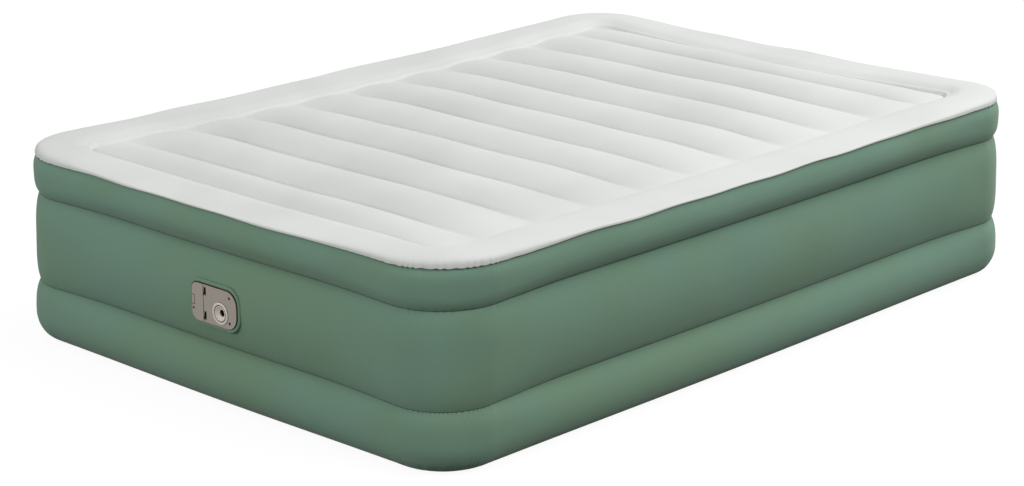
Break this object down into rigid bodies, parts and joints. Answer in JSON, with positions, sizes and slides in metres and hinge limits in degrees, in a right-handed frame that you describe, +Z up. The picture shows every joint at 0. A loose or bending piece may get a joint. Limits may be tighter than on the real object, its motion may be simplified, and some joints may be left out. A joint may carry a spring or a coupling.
{
  "type": "raised air mattress",
  "caption": "Raised inflatable bed with a channelled white top, a rim roll, three-tier green side walls and a built-in mains pump in one end",
  "frame": {"origin": "on the floor under the middle of the inflated mattress", "axes": "+X across the width, +Y along the length away from the pump end, +Z up"},
  "size_m": [1.41, 2.0338, 0.4525],
  "materials": {
    "white_flock": "matte flocked vinyl",
    "green_flock": "matte flocked vinyl",
    "base_vinyl": "plain vinyl sheet",
    "web_vinyl": "plain vinyl sheet",
    "taupe_plastic": "fine moulded texture",
    "pale_plastic": "smooth moulded",
    "dark_plastic": "moulded",
    "web_plastic": "moulded",
    "black_rubber": "moulded",
    "bright_steel": "drawn",
    "dark_steel": "blackened",
    "motor_steel": "plated"
  },
  "bodies": {
    "mattress": {"top_sheet": "white_flock", "upper_wall": "green_flock", "middle_wall": "green_flock", "lower_wall": "green_flock", "base_sheet": "base_vinyl", "rim_curtain": "web_vinyl", "upper_belt": "base_vinyl", "lower_belt": "base_vinyl", "beam_01": "web_vinyl", "beam_02": "web_vinyl", "beam_03": "web_vinyl", "beam_04": "web_vinyl", "beam_05": "web_vinyl", "beam_06": "web_vinyl", "beam_07": "web_vinyl", "beam_08": "web_vinyl", "beam_09": "web_vinyl", "beam_10": "web_vinyl", "pump_collar": "green_flock", "tub_gasket": "black_rubber", "pump_tub": "dark_plastic", "face_plate": "taupe_plastic", "cord_tray": "dark_plastic", "cord_gland": "black_rubber", "door_pin": "bright_steel", "dial_bezel": "pale_plastic", "valve_sleeve": "dark_plastic", "drum_seal": "black_rubber", "rotary_switch": "dark_plastic", "fan_volute": "dark_plastic", "fan_cover": "dark_plastic", "motor_can": "motor_steel", "motor_mount": "black_rubber", "flap_pin": "bright_steel", "panel_screw_1": "dark_steel", "panel_screw_2": "dark_steel"},
    "door": {"cord_door": "taupe_plastic"},
    "latch": {"door_latch": "taupe_plastic"},
    "selector": {"selector_dial": "pale_plastic", "diverter_drum": "dark_plastic"},
    "rotor": {"motor_shaft": "bright_steel", "impeller": "web_plastic"},
    "flap": {"check_flap": "black_rubber"}
  },
  "joints": [
    {"name": "door_hinge", "type": "hinge", "parent": "mattress", "child": "door", "pos_m": [-0.001, -1.0148, 0.231], "axis": [0, 0, 1], "range_deg": [0, 110]},
    {"name": "latch_slide", "type": "slide", "parent": "door", "child": "latch", "axis": [1, 0, 0], "range_m": [0, 0.001], "stiffness_N_per_m": 200},
    {"name": "selector_turn", "type": "hinge", "parent": "mattress", "child": "selector", "pos_m": [0.05, -1.017, 0.219], "axis": [0, 1, 0], "range_deg": [-60, 60]},
    {"name": "rotor_spin", "type": "hinge", "parent": "mattress", "child": "rotor", "pos_m": [0.0023, -0.93, 0.231], "axis": [1, 0, 0], "continuous": true},
    {"name": "flap_hinge", "type": "hinge", "parent": "mattress", "child": "flap", "pos_m": [-0.01, -0.8968, 0.263], "axis": [1, 0, 0], "range_deg": [0, 60]}
  ]
}
